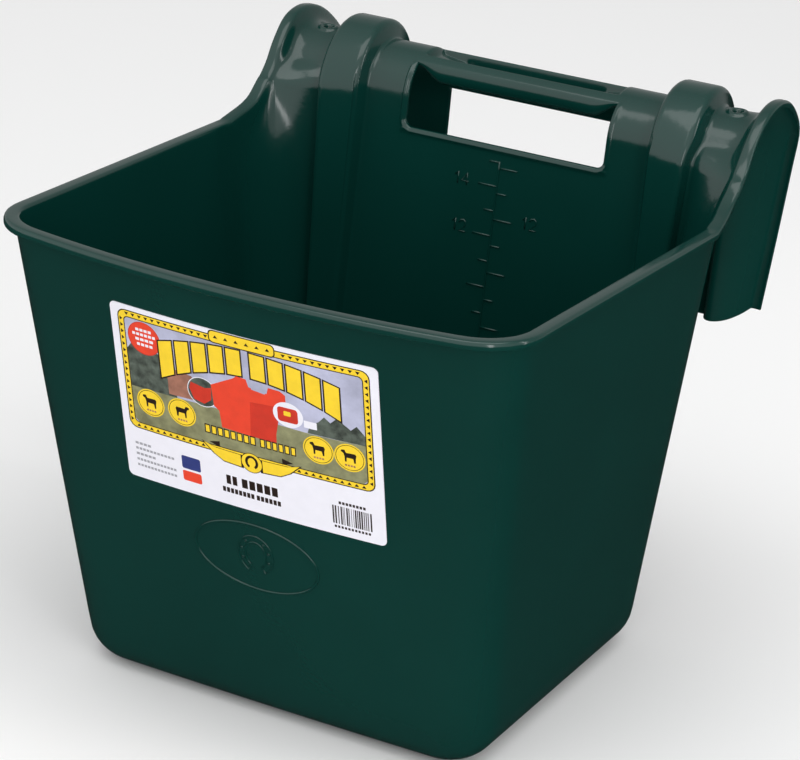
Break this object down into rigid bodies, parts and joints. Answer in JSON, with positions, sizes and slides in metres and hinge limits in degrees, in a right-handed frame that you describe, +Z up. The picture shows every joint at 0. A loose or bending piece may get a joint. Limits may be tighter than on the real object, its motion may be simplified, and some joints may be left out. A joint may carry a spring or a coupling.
{
  "type": "hook-over feed bucket",
  "caption": "Open-topped moulded feed bucket for horses with a flared channel hook at the back that hangs over a fence board, a carrying grip over a hand hole and a printed front label.",
  "frame": {"origin": "centre of the flat resting face under the tub", "axes": "+Z up, -Y towards the labelled front wall, +Y towards the hook, +X to the right hand of a viewer facing the front"},
  "size_m": [0.2904, 0.3778, 0.3005],
  "materials": {
    "green_plastic": "semi-gloss moulded polyethylene",
    "printed_film": "satin printed sticker"
  },
  "bodies": {
    "root": {"tub_floor": "green_plastic", "wall_front": "green_plastic", "wall_back": "green_plastic", "wall_left": "green_plastic", "wall_right": "green_plastic", "rim_front": "green_plastic", "rim_left": "green_plastic", "rim_right": "green_plastic", "hook_strap_left": "green_plastic", "hook_strap_right": "green_plastic", "hoop_rib_left": "green_plastic", "hoop_rib_right": "green_plastic", "rib_band_left": "green_plastic", "rib_band_right": "green_plastic", "end_flare_left": "green_plastic", "end_flare_right": "green_plastic", "flare_edge_left": "green_plastic", "flare_edge_right": "green_plastic", "screw_boss_left": "green_plastic", "screw_boss_right": "green_plastic", "carry_grip": "green_plastic", "hand_hole_bead": "green_plastic", "scale_marks": "green_plastic", "oval_emblem": "green_plastic", "label": "printed_film"}
  },
  "joints": []
}
